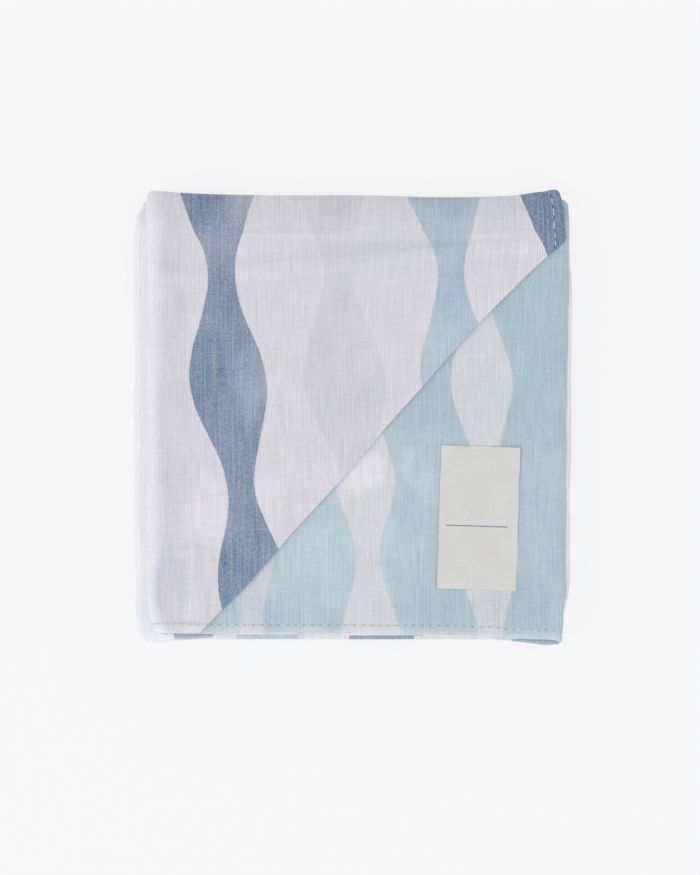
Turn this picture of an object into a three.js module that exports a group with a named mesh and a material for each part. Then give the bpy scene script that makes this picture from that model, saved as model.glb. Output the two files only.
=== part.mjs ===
// A printed cotton handkerchief, folded in thirds twice, with one corner of its top layer turned under
// and a plain label lying on the layer that the turned corner uncovers. Millimetres, +Z up, and the
// origin is the middle of the footprint, on the surface that the handkerchief rests on. +Y points from
// the free hem of the top packet towards the upper fold.
//
// The cloth is one sheet. It is worked out flat, as a rectangle with "across" running from the side hem
// of the top layer and "along" running from that layer's lower hem, and is then folded in three moves:
//   1. the corner where those two hems meet is turned under along a slanting crease;
//   2. the sheet is folded across in thirds like a letter, which makes a strip of three layers;
//   3. the strip is folded along in thirds, back and forth, which makes three packets of three layers.

import * as THREE from 'three';

// ------------------------------------------------------------------------------------------ sizes
const LAYER = 1.0; // thickness of the cloth, with the loft that its soft weave keeps
const AIR = 0.3; // space between two layers
const PITCH = LAYER + AIR; // from one layer to the next
const PACKET = 3 * LAYER + 2 * AIR; // height of three layers
const PACKET_PITCH = PACKET + AIR; // from one packet to the next

// Folded across: where the borders of the strip lie, from left to right.
const STRIP = { left: -68.5, innerHem: -65.0, sideHem: 69.5, right: 71.5 };

// Folded along: where the ends of the packets lie, from bottom to top. The lowest packet ends at the
// inner hem, and from the brow beyond it the two packets above sink down a slope to the upper fold.
const PACKETS = { lowerFold: -74.5, lowerHem: -72.6, innerHem: 61.2, brow: 61.5, upperFold: 74.3 };
const SINK = 2.6; // depth of that slope

// The crease of the turned corner, by how far from the sheet's corner it meets each hem.
const CREASE = { across: 120.4, along: 131.9 };
const LIFT_MARGIN = 0.2; // the layer above stays fully raised this far beyond the turned corner
const LIFT_RAMP = 4.8; // and then sinks back over this width

// How far the sides of the strip stand out along its length, as the packets don't lie quite in line.
const SIDES = [
  { along: 0, left: -69.4, right: 69.2 },
  { along: 14, left: -69.9, right: 70.6 },
  { along: 125, left: -69.6, right: 71.8 },
  { along: 147, left: -65.7, right: 70.4 },
  { along: 162, left: -68.2, right: 71.8 },
  { along: 230, left: -70.0, right: 72.6 },
  { along: 279, left: -72.6, right: 73.0 },
  { along: 289, left: -71.8, right: 72.4 },
  { along: 294, left: -66.2, right: 69.2 },
  { along: 299, left: -71.8, right: 72.4 },
  { along: 309, left: -73.2, right: 73.2 },
  { along: 400, left: -73.2, right: 73.2 },
  { along: 428, left: -70.4, right: 72.8 },
];

// How the folds and free hems wander from straight. A span or fade is the length over which that dies out.
const UPPER_CORNERS = { reach: 1.8, halfWidth: 69, span: 12 }; // both ends of the upper fold stand out
const LOWER_RIGHT = { reach: 1.7, from: 20, to: 58, span: 12 }; // the lower fold hangs out on the right
const LOWER_HEM_SKEW = { reach: 0.6, fade: 40 }; // the first layer ends higher than the last one
const INNER_HEM_SKEW = { reach: 1.2, fade: 40 }; // the hidden end of the lowest packet slants

const LABEL = { width: 26.5, height: 48, thickness: 1.0, x: 41.6, y: -33.9, turnDegrees: -1.75 };

// How many facets each stretch of a fold has.
const FACETS = { layer: 7, topPacket: 8, packet: 6, slope: 4, wideTurn: 6, tightTurn: 4 };
const LONG_STRETCH = 20; // a stretch longer than this has its facets closer together near its ends
const ON_THE_LINE = 0.04; // a flat corner nearer to a crease than this counts as on it

const COLOURS = { cloth: 0xc6d8e4, label: 0xdddbd5 };

// ------------------------------------------------------------------------------------- small maths
const { clamp, lerp, smoothstep } = THREE.MathUtils;

// Reads a column of the table of sides, easing from each row to the next.
function sideAt(along, column) {
  const next = SIDES.findIndex((row) => row.along >= along);
  if (next === 0) return SIDES[0][column];
  if (next < 0) return SIDES.at(-1)[column];
  const before = SIDES[next - 1];
  const after = SIDES[next];
  return lerp(before[column], after[column], smoothstep(along, before.along, after.along));
}

// One at the centre, and zero a span away from it on both sides.
function bell(at, centre, span) {
  return 1 - smoothstep(Math.abs(at - centre), 0, span);
}

// --------------------------------------------------------------------------------------- stretches
// A profile is a row of stretches. Each has a length, a number of facets, and a function from the share
// of it that is passed to a point { run, rise } and the unit normal { nRun, nRise } on its outer side.

function straight(from, to, rise, outward, facets) {
  return {
    length: Math.abs(to - from),
    facets,
    at: (share) => ({ run: lerp(from, to, share), rise, nRun: 0, nRise: outward }),
  };
}

// Half a circle that starts at its top and goes round clockwise (-1) or anticlockwise (1). The printed
// side of the profile's first layer faces away from the centre (outward 1) or towards it (-1).
function halfTurn(centreRun, centreRise, radius, way, outward, facets, start = Math.PI / 2) {
  return {
    length: Math.PI * radius,
    facets,
    at: (share) => {
      const angle = start + way * Math.PI * share;
      const cos = Math.cos(angle);
      const sin = Math.sin(angle);
      const point = { run: centreRun + radius * cos, rise: centreRise + radius * sin };
      return { ...point, nRun: outward * cos, nRise: outward * sin };
    },
  };
}

// A soft S between two heights, or a line that runs beside it at a distance measured square to it.
function slope(from, to, start, end, beside, outward, facets) {
  const width = to - from;
  const drop = start - end;
  return {
    length: Math.hypot(width, drop),
    facets,
    at: (share) => {
      const fall = (drop * Math.PI * Math.sin(Math.PI * share)) / (2 * width);
      const size = Math.hypot(1, fall);
      const up = { run: fall / size, rise: 1 / size };
      const run = lerp(from, to, share) + beside * up.run;
      const rise = end + (drop * (1 + Math.cos(Math.PI * share))) / 2 + beside * up.rise;
      return { run, rise, nRun: outward * up.run, nRise: outward * up.rise };
    },
  };
}

class Profile {
  constructor(stretches) {
    this.stretches = stretches;
    this.starts = [0];
    for (const stretch of stretches) this.starts.push(this.starts.at(-1) + stretch.length);
    this.length = this.starts.at(-1);
  }

  at(distance) {
    const found = this.starts.findLastIndex((start) => start <= distance);
    const index = clamp(found, 0, this.stretches.length - 1);
    const stretch = this.stretches[index];
    return stretch.at(clamp((distance - this.starts[index]) / stretch.length, 0, 1));
  }

  middleOf(index) {
    return this.starts[index] + this.stretches[index].length / 2;
  }

  // Where the facets meet.
  stations() {
    const places = [0];
    this.stretches.forEach((stretch, index) => {
      for (let i = 1; i <= stretch.facets; i += 1) {
        const even = i / stretch.facets;
        const eased = (1 - Math.cos(Math.PI * even)) / 2;
        const share = stretch.length > LONG_STRETCH ? eased : even;
        places.push(this.starts[index] + share * stretch.length);
      }
    });
    return places;
  }
}

// --------------------------------------------------------------------------------------- the folds
// Folded across: the top layer runs to the left, the lowest one back to the right, and the last one
// runs to the left again between them.
function foldAcross() {
  const leftTurn = STRIP.left + PITCH + LAYER / 2;
  const rightTurn = STRIP.right - PITCH / 2 - LAYER / 2;
  return new Profile([
    straight(STRIP.sideHem, leftTurn, PITCH, 1, FACETS.layer),
    halfTurn(leftTurn, 0, PITCH, 1, 1, FACETS.wideTurn),
    straight(leftTurn, rightTurn, -PITCH, -1, FACETS.layer),
    halfTurn(rightTurn, -PITCH / 2, PITCH / 2, 1, 1, FACETS.tightTurn, -Math.PI / 2),
    straight(rightTurn, STRIP.innerHem, 0, 1, FACETS.layer),
  ]);
}

// Folded along, back and forth: the top packet runs away and sinks to the upper fold, the middle one
// climbs from there and runs back to the lower fold, and the lowest one runs away again beneath it.
const UPPER_TURN_INDEX = 2;
const LOWER_TURN_INDEX = 5;

function foldAlong() {
  const lowest = PACKET / 2;
  const middle = lowest + PACKET_PITCH;
  const highest = middle + PACKET_PITCH;
  const sunk = middle - SINK;
  const radius = PACKET_PITCH / 2;
  const upperTurn = PACKETS.upperFold - radius - PACKET / 2;
  const lowerTurn = PACKETS.lowerFold + radius + PACKET / 2;
  const brow = PACKETS.brow;
  return new Profile([
    straight(PACKETS.lowerHem, brow, highest, 1, FACETS.topPacket),
    slope(brow, upperTurn, middle, sunk, PACKET_PITCH, 1, FACETS.slope),
    halfTurn(upperTurn, sunk + radius, radius, -1, 1, FACETS.wideTurn),
    slope(upperTurn, brow, sunk, middle, 0, -1, FACETS.slope),
    straight(brow, lowerTurn, middle, -1, FACETS.packet),
    halfTurn(lowerTurn, middle - radius, radius, 1, -1, FACETS.wideTurn),
    straight(lowerTurn, PACKETS.innerHem, lowest, 1, FACETS.packet),
  ]);
}

// The turned corner. On the flat sheet its bend starts along a straight line, and toCorner is the unit
// vector square to that line that points to the sheet's corner.
class TurnedCorner {
  constructor() {
    this.radius = PITCH / 2;
    this.bend = Math.PI * this.radius; // cloth that the bend takes up
    this.toCorner = new THREE.Vector2(-CREASE.along, -CREASE.across).normalize();
    const standsOut = this.radius + LAYER / 2; // the crease lies this far beyond the bend's start
    this.reach = standsOut - this.toCorner.x * CREASE.across;
  }

  // How far a point of the flat sheet is past the start of the bend.
  past(across, along) {
    return this.toCorner.x * across + this.toCorner.y * along + this.reach;
  }

  // The mirror image of a flat point in the line where the bend starts. The cloth that is turned under
  // comes to lie within the mirror image of the sheet's corner.
  mirror(across, along) {
    const distance = -2 * this.past(across, along);
    return { across: across + distance * this.toCorner.x, along: along + distance * this.toCorner.y };
  }

  // The top layer is raised over the turned corner and sinks back beyond its hems.
  lift(across, along) {
    const image = this.mirror(across, along);
    const inside = Math.min(image.across, image.along);
    return PITCH * clamp((inside + LIFT_MARGIN + LIFT_RAMP) / LIFT_RAMP, 0, 1);
  }

  // Where a point of the flat sheet goes, and how far it is raised. The offset is its distance from the
  // middle of the cloth's thickness towards the printed side.
  place(across, along, offset) {
    const past = this.past(across, along);
    if (past <= 0) return { across, along, raised: this.lift(across, along) + offset };
    const angle = Math.min(past, this.bend) / this.radius;
    const beyond = Math.max(past - this.bend, 0);
    const moved = (this.radius + offset) * Math.sin(angle) - beyond - past;
    const raised = PITCH - this.radius + (this.radius + offset) * Math.cos(angle);
    return { across: across + moved * this.toCorner.x, along: along + moved * this.toCorner.y, raised };
  }

  // The lines along which the flat sheet creases, as the terms of across * x + along * y + offset = 0:
  // the facets of the bend, and both edges of the ramp beyond each hem.
  creaseLines() {
    const { x, y } = this.toCorner;
    const lines = [];
    for (let i = 0; i <= FACETS.tightTurn; i += 1) {
      lines.push({ x, y, offset: this.reach - (this.bend * i) / FACETS.tightTurn });
    }
    const turned = this.mirror(0, 0);
    for (const edge of [LIFT_MARGIN, LIFT_MARGIN + LIFT_RAMP]) {
      lines.push({ x: 1 - 2 * x * x, y: -2 * x * y, offset: turned.across + edge });
      lines.push({ x: -2 * x * y, y: 1 - 2 * y * y, offset: turned.along + edge });
    }
    return lines;
  }
}

// --------------------------------------------------------------------------------------- the sheet
class FoldedSheet {
  constructor() {
    this.across = foldAcross();
    this.along = foldAlong();
    this.corner = new TurnedCorner();
  }

  // How far a point wanders in Y from the straight folds and hems.
  wander(x, across, along) {
    const upperNose = this.along.middleOf(UPPER_TURN_INDEX);
    const lowerNose = this.along.middleOf(LOWER_TURN_INDEX);
    const upper = UPPER_CORNERS.reach * (x / UPPER_CORNERS.halfWidth) ** 4;
    const lower = -LOWER_RIGHT.reach * smoothstep(x, LOWER_RIGHT.from, LOWER_RIGHT.to);
    const firstHem = LOWER_HEM_SKEW.reach * (1 - (2 * across) / this.across.length);
    const lastHem = (-INNER_HEM_SKEW.reach * x) / STRIP.right;
    return (
      upper * bell(along, upperNose, UPPER_CORNERS.span) +
      lower * bell(along, lowerNose, LOWER_RIGHT.span) +
      firstHem * bell(along, 0, LOWER_HEM_SKEW.fade) +
      lastHem * bell(along, this.along.length, INNER_HEM_SKEW.fade)
    );
  }

  // Where a point of the flat sheet lies once folded, at an offset from the middle of the thickness.
  fold(flatAcross, flatAlong, offset) {
    const { across, along, raised } = this.corner.place(flatAcross, flatAlong, offset);
    const section = this.across.at(across);
    const spine = this.along.at(along);
    const share = (section.run + section.nRun * raised - STRIP.left) / (STRIP.right - STRIP.left);
    const x = lerp(sideAt(along, 'left'), sideAt(along, 'right'), share);
    const height = section.rise + section.nRise * raised;
    const y = spine.run + spine.nRun * height + this.wander(x, across, along);
    return new THREE.Vector3(x, y, spine.rise + spine.nRise * height);
  }
}

// ----------------------------------------------------------------------------------------- meshing
// Cuts a convex polygon of the flat sheet along a line.
function splitPolygon(polygon, line) {
  const distances = polygon.map(([across, along]) => {
    const distance = line.x * across + line.y * along + line.offset;
    return Math.abs(distance) < ON_THE_LINE ? 0 : distance;
  });
  if (!distances.some((d) => d > 0) || !distances.some((d) => d < 0)) return [polygon];
  const parts = [[], []];
  polygon.forEach((point, i) => {
    const next = (i + 1) % polygon.length;
    if (distances[i] >= 0) parts[0].push(point);
    if (distances[i] <= 0) parts[1].push(point);
    if (distances[i] * distances[next] >= 0) return;
    const share = distances[i] / (distances[i] - distances[next]);
    const cut = point.map((value, axis) => lerp(value, polygon[next][axis], share));
    parts.forEach((part) => part.push(cut));
  });
  return parts;
}

// The flat sheet as convex polygons: a grid on the folds' stations, cut along the corner's creases.
function flatPolygons(sheet) {
  const acrossAt = sheet.across.stations();
  const alongAt = sheet.along.stations();
  let polygons = [];
  for (let i = 1; i < acrossAt.length; i += 1) {
    for (let j = 1; j < alongAt.length; j += 1) {
      const [a0, a1, b0, b1] = [acrossAt[i - 1], acrossAt[i], alongAt[j - 1], alongAt[j]];
      polygons.push([[a0, b0], [a1, b0], [a1, b1], [a0, b1]]);
    }
  }
  for (const line of sheet.corner.creaseLines()) {
    polygons = polygons.flatMap((polygon) => splitPolygon(polygon, line));
  }
  return polygons;
}

// The folded cloth as one closed body: both faces of the sheet, and the rim that joins them at the hems.
function clothGeometry() {
  const sheet = new FoldedSheet();
  const positions = [];
  const triangles = [];
  const known = new Map();

  // The index of a flat point's vertex on the printed face. Its vertex on the other face comes next.
  function vertex([across, along]) {
    const key = `${across.toFixed(5)} ${along.toFixed(5)}`;
    if (!known.has(key)) {
      known.set(key, positions.length / 3);
      positions.push(...sheet.fold(across, along, LAYER / 2), ...sheet.fold(across, along, -LAYER / 2));
    }
    return known.get(key);
  }

  const openEdges = new Map();
  for (const polygon of flatPolygons(sheet)) {
    const corners = polygon.map(vertex);
    for (let i = 2; i < corners.length; i += 1) {
      const [a, b, c] = [corners[0], corners[i - 1], corners[i]];
      triangles.push(a, c, b, a + 1, b + 1, c + 1);
    }
    corners.forEach((from, i) => {
      const to = corners[(i + 1) % corners.length];
      if (!openEdges.delete(`${to} ${from}`)) openEdges.set(`${from} ${to}`, [from, to]);
    });
  }
  for (const [from, to] of openEdges.values()) {
    triangles.push(from, to, to + 1, from, to + 1, from + 1);
  }

  const geometry = new THREE.BufferGeometry();
  geometry.setAttribute('position', new THREE.Float32BufferAttribute(positions, 3));
  geometry.setIndex(triangles);
  geometry.computeVertexNormals();
  return geometry;
}

// --------------------------------------------------------------------------------------- the parts
function makeCloth() {
  const finish = new THREE.MeshStandardMaterial({ color: COLOURS.cloth, roughness: 0.95, metalness: 0 });
  const cloth = new THREE.Mesh(clothGeometry(), finish);
  cloth.name = 'folded_cloth';
  return cloth;
}

// The label lies on the last layer of the top packet, where the turned corner uncovers it.
function makeLabel() {
  const finish = new THREE.MeshStandardMaterial({ color: COLOURS.label, roughness: 0.9, metalness: 0 });
  const shape = new THREE.BoxGeometry(LABEL.width, LABEL.height, LABEL.thickness);
  const label = new THREE.Mesh(shape, finish);
  label.name = 'label';
  const uncovered = PACKET / 2 + 2 * PACKET_PITCH + LAYER / 2;
  label.position.set(LABEL.x, LABEL.y, uncovered + AIR + LABEL.thickness / 2);
  label.rotation.z = THREE.MathUtils.degToRad(LABEL.turnDegrees);
  return label;
}

const handkerchief = new THREE.Group();
handkerchief.name = 'handkerchief';
handkerchief.add(makeCloth(), makeLabel());

export default handkerchief;
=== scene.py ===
"""A printed cotton handkerchief, folded in thirds twice, with one corner of its top layer turned under.

The cloth is one sheet. It is worked out flat, in millimetres: "across" runs from the side hem of the top
layer and "along" from that layer's lower hem. It is then folded in the same three moves as the solid, with
thinner layers, and gets its hems, stitches, soft creases and print. A plain label lies on it.
"""

import logging
import math
from dataclasses import dataclass, field
from enum import Enum
from itertools import accumulate
from typing import Any, Callable, NamedTuple, Optional, Sequence, Union

import bmesh
import bpy
import numpy as np
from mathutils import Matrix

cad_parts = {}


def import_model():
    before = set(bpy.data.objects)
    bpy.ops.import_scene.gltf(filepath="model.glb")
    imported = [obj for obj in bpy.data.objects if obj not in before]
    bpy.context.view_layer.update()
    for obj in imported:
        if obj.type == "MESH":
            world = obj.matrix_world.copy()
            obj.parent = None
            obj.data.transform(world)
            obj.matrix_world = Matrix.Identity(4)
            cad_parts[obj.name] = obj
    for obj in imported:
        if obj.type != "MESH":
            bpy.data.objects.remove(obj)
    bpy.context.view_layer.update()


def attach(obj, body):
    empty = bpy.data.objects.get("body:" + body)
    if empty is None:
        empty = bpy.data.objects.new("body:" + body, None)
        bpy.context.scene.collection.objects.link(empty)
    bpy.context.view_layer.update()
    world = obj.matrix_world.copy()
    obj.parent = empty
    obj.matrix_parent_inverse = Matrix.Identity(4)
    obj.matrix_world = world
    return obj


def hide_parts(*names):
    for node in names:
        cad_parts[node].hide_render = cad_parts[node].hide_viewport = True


LOG = logging.getLogger("handkerchief")
FLAT_MAP = "Flat"
MM = 0.001
FULL_TURN = 2.0 * math.pi

CLOTH_THICKNESS = 0.5
SEAM_INSET = 3.2
STITCH_PITCH = 2.8

Array = np.ndarray
Number = Union[Array, float]
Tint = tuple[int, int, int]


# ---- small maths


def smoothstep(value: Array, low: Number, high: Number) -> Array:
    """Eases from 0 at the low end to 1 at the high one."""
    share = np.clip((value - low) / (high - low), 0.0, 1.0)
    return share * share * (3.0 - 2.0 * share)


class Ramp(NamedTuple):
    """An easing from 0 to 1 between two places."""

    low: float
    high: float

    def up(self, value: Array) -> Array:
        """Zero below the ramp and one above it."""
        return smoothstep(value, self.low, self.high)

    def down(self, value: Array) -> Array:
        """One below the ramp and zero above it."""
        return 1.0 - smoothstep(value, self.low, self.high)


class Table:
    """A short table with named columns. The first one says where each row stands, in order."""

    def __init__(self, columns: str, *rows: Sequence[float]) -> None:
        """Takes the columns' names, with a space between them, and the rows."""
        self.columns = dict(zip(columns.split(), np.array(rows, dtype=float).T))
        self.places = next(iter(self.columns.values()))

    def read(self, column: str, at: Array) -> Array:
        """Reads a column, easing from row to row.

        Args:
            column: Its name.
            at: Where it is read.

        Returns:
            The column's values there.
        """
        values = self.columns[column]
        row = np.clip(np.searchsorted(self.places, at) - 1, 0, len(values) - 2)
        share = smoothstep(at, self.places[row], self.places[row + 1])
        return values[row] + (values[row + 1] - values[row]) * share


def bell(at: Array, centre: float, span: float) -> Array:
    """One at the centre, and zero a span away from it on both sides."""
    return 1.0 - smoothstep(np.abs(at - centre), 0.0, span)


def tint(colour: Tint) -> tuple[float, float, float, float]:
    """Turns a colour as a screen shows it, from 0 to 255, into the linear one that a shader takes."""
    shares = [level / 255.0 for level in colour]
    return (*(s / 12.92 if s <= 0.04045 else ((s + 0.055) / 1.055) ** 2.4 for s in shares), 1.0)


# ---- stretches


class Track(NamedTuple):
    """Points of a folded line, with the unit normals on its outer side."""

    run: Array
    rise: Array
    normal_run: Array
    normal_rise: Array


@dataclass(frozen=True)
class Straight:
    """A level stretch. The step of each kind of stretch is the spacing of the mesh on it."""

    step: float
    start: float
    end: float
    height: float
    outward: int

    def length(self) -> float:
        """How long the stretch is."""
        return abs(self.end - self.start)

    def at(self, share: Array) -> Track:
        """The points where a share of the stretch is passed.

        Args:
            share: The shares, from 0 to 1.

        Returns:
            The points, and the way square to the line there.
        """
        zero = np.zeros_like(share)
        run = self.start + (self.end - self.start) * share
        return Track(run, zero + self.height, zero, zero + self.outward)


@dataclass(frozen=True)
class HalfTurn:
    """Half a circle that goes clockwise (way -1) or anticlockwise (way 1)."""

    step: float
    centre_run: float
    centre_rise: float
    radius: float
    way: int
    outward: int
    begin: float = math.pi / 2

    def length(self) -> float:
        """How long the stretch is."""
        return math.pi * self.radius

    def at(self, share: Array) -> Track:
        """The points where a share of the stretch is passed.

        Args:
            share: The shares, from 0 to 1.

        Returns:
            The points, and the way square to the line there.
        """
        angle = self.begin + self.way * math.pi * share
        cos, sin = np.cos(angle), np.sin(angle)
        run = self.centre_run + self.radius * cos
        rise = self.centre_rise + self.radius * sin
        return Track(run, rise, self.outward * cos, self.outward * sin)


@dataclass(frozen=True)
class Slope:
    """A level line that bends down ever more, or a line beside it at a distance square to it."""

    step: float
    start: float
    end: float
    start_rise: float
    drop: float
    beside: float
    outward: int
    backwards: bool = False

    @property
    def final_angle(self) -> float:
        """How steeply the line falls at its lower end."""
        return math.atan(self.drop * math.pi / (2.0 * abs(self.end - self.start)))

    def length(self) -> float:
        """How long the stretch is."""
        return math.hypot(self.end - self.start, self.drop)

    def at(self, share: Array) -> Track:
        """The points where a share of the stretch is passed.

        Args:
            share: The shares, from 0 to 1.

        Returns:
            The points, and the way square to the line there.
        """
        if self.backwards:
            share = 1.0 - share
        width = self.end - self.start
        fall = self.drop * math.pi * np.sin(math.pi * share / 2.0) / (2.0 * width)
        size = np.hypot(1.0, fall)
        up_run, up_rise = fall / size, 1.0 / size
        run = self.start + width * share + self.beside * up_run
        rise = self.start_rise - self.drop * (1.0 - np.cos(math.pi * share / 2.0)) + self.beside * up_rise
        return Track(run, rise, self.outward * up_run, self.outward * up_rise)


Stretch = Union[Straight, HalfTurn, Slope]


class Profile:
    """A folded line, made of stretches laid end to end."""

    LEAST_GAP = 0.4

    def __init__(self, stretches: Sequence[Stretch]) -> None:
        """Lays the stretches end to end.

        Args:
            stretches: The stretches, in order.
        """
        self.stretches = list(stretches)
        self.starts = [0.0, *accumulate(stretch.length() for stretch in stretches)]
        self.length = self.starts[-1]

    def at(self, distance: Array) -> Track:
        """The points at distances from the line's start.

        Args:
            distance: The distances.

        Returns:
            The points and normals there.
        """
        whole = Track(*(np.zeros_like(distance) for _ in range(4)))
        index = np.clip(np.searchsorted(self.starts, distance, "right") - 1, 0, len(self.stretches) - 1)
        for number, stretch in enumerate(self.stretches):
            here = index == number
            share = np.clip((distance[here] - self.starts[number]) / stretch.length(), 0.0, 1.0)
            for part, found in zip(whole, stretch.at(share)):
                part[here] = found
        return whole

    def middle_of(self, number: int) -> float:
        """How far along the line the middle of a stretch is."""
        return (self.starts[number] + self.starts[number + 1]) / 2.0

    def stations(self, near_ends: Sequence[float]) -> Array:
        """Where the mesh has its lines.

        Args:
            near_ends: Distances from each end of the line that get a line of their own.

        Returns:
            The places, in order.
        """
        places: list[float] = []
        for start, stretch in zip(self.starts, self.stretches):
            count = max(2, round(stretch.length() / stretch.step))
            places.extend(start + stretch.length() * i / count for i in range(count))
        edge = max(near_ends) + self.LEAST_GAP
        kept = [p for p in places if edge < p < self.length - edge]
        ends = [*near_ends, *(self.length - distance for distance in near_ends)]
        return np.array(sorted([*kept, *ends]))


# ---- the folds

# Where the two sides of the strip lie at places along it.
SIDES = Table(
    "along left right",
    (0, -66.0, 69.5),
    (2.5, -67.9, 69.6),
    (7, -69.3, 70.1),
    (14, -69.9, 70.7),
    (70, -70.0, 71.1),
    (125, -69.9, 72.1),
    (143, -69.8, 71.8),
    (147, -68.0, 70.0),
    (150, -71.3, 70.9),
    (154, -73.5, 71.8),
    (160, -74.3, 72.2),
    (182, -73.9, 73.0),
    (216, -73.9, 72.7),
    (250, -73.8, 72.4),
    (276, -73.6, 72.2),
    (283, -73.6, 71.4),
    (287, -73.2, 69.9),
    (291.5, -72.1, 68.0),
    (294.4, -70.0, 66.4),
    (298, -71.8, 68.4),
    (309, -73.0, 71.6),
    (350, -73.1, 72.2),
    (400, -73.1, 72.5),
    (428, -70.4, 72.0),
)

# How far the top packet's free lower hem stands down, at places across the sheet.
LOWER_HEM = Table(
    "across down",
    (0, 0.9),
    (60, 0.2),
    (136, 0.0),
    (148, 2.1),
    (154, 2.0),
    (160, 1.4),
    (168, 0.6),
    (248, 1.0),
    (258, 2.6),
    (266, 3.5),
    (272, 4.1),
    (277, 3.9),
    (280, 2.8),
    (284, 2.1),
    (297, 2.0),
    (306, 1.1),
    (315, 0.7),
    (352, 0.5),
    (399, 0.3),
    (408, -0.5),
    (416, -0.8),
)

# How far the upper end of the top layer's side hem swings out, at places along the sheet.
HEM_SWING = Table(
    "along out",
    (112, 0.0),
    (124, 1.2),
    (130, 1.1),
    (138, 0.4),
    (147, -1.2),
    (156, -0.8),
    (168, 0.0),
)

# How far the slanting crease draws back from a straight line, at shares of its length.
CREASE_BOW = Table(
    "share back",
    (0.0, 0.0),
    (0.05, -0.2),
    (0.12, -0.85),
    (0.18, -0.7),
    (0.26, -0.1),
    (0.4, -0.15),
    (0.55, 0.8),
    (0.77, 1.4),
    (0.95, 0.4),
    (1.0, 0.2),
)


class SoftForm(NamedTuple):
    """A soft ridge, or a trough if its height is below zero, on the upper side of the stack."""

    x: float
    y: float
    turn: float
    length: float
    width: float
    height: float


SOFT_FORMS = (
    SoftForm(-22, 61.4, 0, 15, 1.2, 0.60),
    SoftForm(48, 61.3, 1, 17, 1.2, 0.56),
    SoftForm(10, 58.6, -1, 24, 1.4, -0.30),
    SoftForm(-28, 54.0, 0, 14, 3.0, -0.16),
    SoftForm(46, 54.4, 0, 16, 3.4, -0.16),
    SoftForm(-58.3, -44.9, 7, 6.5, 0.9, 0.80),
    SoftForm(-58.0, -47.0, 7, 6.5, 1.1, -0.36),
    SoftForm(-61.0, -15, 88, 24, 2.6, -0.34),
    SoftForm(-49.5, -33, 88, 17, 2.6, 0.30),
    SoftForm(-63.5, 22, 90, 24, 2.4, 0.18),
    SoftForm(-60.0, -58, 84, 11, 2.2, -0.26),
    SoftForm(20, 38, 8, 26, 6, 0.16),
    SoftForm(-18, 8, -70, 30, 7, -0.14),
    SoftForm(12, -38, 76, 24, 5, 0.16),
    SoftForm(-6, -62, 4, 30, 3, -0.14),
    SoftForm(62, -28, 88, 34, 3.0, -0.16),
    SoftForm(58, 8, 86, 26, 4, 0.14),
    SoftForm(30, -4, 40, 20, 5, -0.12),
)


class Wave(NamedTuple):
    """One long, low wave of a surface that doesn't lie quite flat."""

    length: float
    heading: float
    phase: float
    height: float


WAVES = (
    Wave(61, 12, 0.3, 0.10),
    Wave(47, 78, 1.9, 0.09),
    Wave(33, 41, 4.1, 0.05),
    Wave(27, 118, 2.6, 0.045),
    Wave(19, 96, 0.8, 0.025),
    Wave(15, 5, 5.2, 0.02),
)


class Ripple(NamedTuple):
    """A small regular unevenness of a line. Its waves are 2 pi times the pitch long."""

    height: float
    pitch: float
    shift: float = 0.0

    def of(self, at: Array) -> Array:
        """How far the line stands out at places along it."""
        return self.height * np.sin(at / self.pitch + self.shift)


SIDE_RIPPLES = {
    "left": (Ripple(0.16, 6.1, 0.4), Ripple(0.10, 2.7)),
    "right": (Ripple(0.12, 7.3, 2.0), Ripple(0.08, 3.1, 1.0)),
}
HEM_RIPPLE = Ripple(0.10, 5.1)
LOOSE_RIPPLES = (Ripple(1.0, 9.3, 0.7), Ripple(1.0, 11.1, 1.3))


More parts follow.
